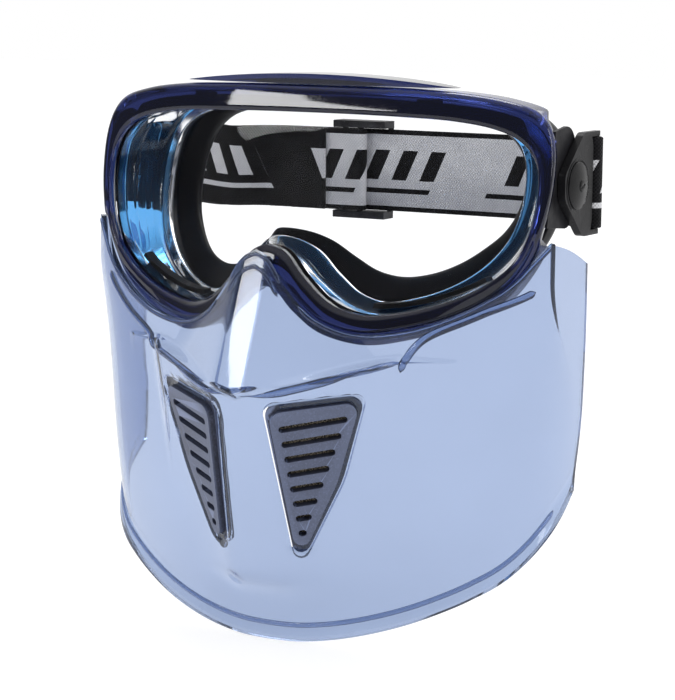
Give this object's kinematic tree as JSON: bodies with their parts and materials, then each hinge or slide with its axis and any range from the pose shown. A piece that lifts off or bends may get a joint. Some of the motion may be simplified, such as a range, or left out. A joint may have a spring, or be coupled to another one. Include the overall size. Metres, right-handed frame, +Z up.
{
  "type": "safety goggles with face shield",
  "caption": "Wrap-round safety goggles with a clear lens, a soft face seal, an adjustable elastic head strap on swivelling clips, and a clip-on vented lower face shield.",
  "frame": {"origin": "the face datum: on the middle plane, at the height of the wearer's eyes, on the plane that the brow pad meets the forehead at", "axes": "+X is to the right as seen from the front, -Y is forwards out of the goggles, +Z is up"},
  "size_m": [0.1778, 0.1511, 0.1866],
  "materials": {
    "frame_navy": "translucent navy moulded polycarbonate, glossy",
    "lens_clear": "clear polished polycarbonate",
    "gasket_black": "thin foam gasket",
    "inner_sky": "translucent sky-blue soft vinyl, satin",
    "seal_black": "soft black elastomer, satin",
    "trim_black": "moulded black plastic",
    "lug_black": "moulded black nylon",
    "pin_black": "moulded black nylon, polished cap",
    "washer_steel": "plain stamped washer",
    "clip_black": "moulded black nylon, satin",
    "webbing": "woven elastic webbing, black face and pale reverse",
    "thread": "polyester thread",
    "slider_black": "moulded black nylon",
    "shield_ice": "translucent ice-blue polycarbonate, glossy",
    "grille_slate": "slate-grey moulded plastic",
    "vent_filter": "open-cell filter foam",
    "retainer_slate": "slate-grey moulded plastic"
  },
  "bodies": {
    "goggles": {"outer_frame": "frame_navy", "lens": "lens_clear", "lens_gasket": "gasket_black", "inner_frame": "inner_sky", "face_seal": "seal_black", "top_vent_cover": "frame_navy", "top_vent_filter": "vent_filter", "vent_baffles": "trim_black", "left_lower_vent": "trim_black", "right_lower_vent": "trim_black", "left_lug": "lug_black", "right_lug": "lug_black", "left_pivot_pin": "pin_black", "right_pivot_pin": "pin_black", "left_washer": "washer_steel", "right_washer": "washer_steel"},
    "harness": {"left_strap_clip": "clip_black", "right_strap_clip": "clip_black", "strap": "webbing", "strap_stitching": "thread"},
    "slider": {"strap_adjuster": "slider_black", "strap_tail": "webbing"},
    "shield": {"face_shield": "shield_ice", "left_vent_grille": "grille_slate", "right_vent_grille": "grille_slate", "left_vent_filter": "vent_filter", "right_vent_filter": "vent_filter", "left_vent_retainer": "retainer_slate", "right_vent_retainer": "retainer_slate"}
  },
  "joints": [
    {"name": "strap_swivel", "type": "hinge", "parent": "goggles", "child": "harness", "pos_m": [0, -0.0086, 0.0097], "axis": [1, 0, 0], "range_deg": [-25, 25]},
    {"name": "strap_slider_slide", "type": "slide", "parent": "harness", "child": "slider", "axis": [1, 0, 0], "range_m": [-0.012, 0.018]},
    {"name": "shield_release", "type": "slide", "parent": "goggles", "child": "shield", "axis": [0, -1, 0], "range_m": [0, 0.08]}
  ]
}
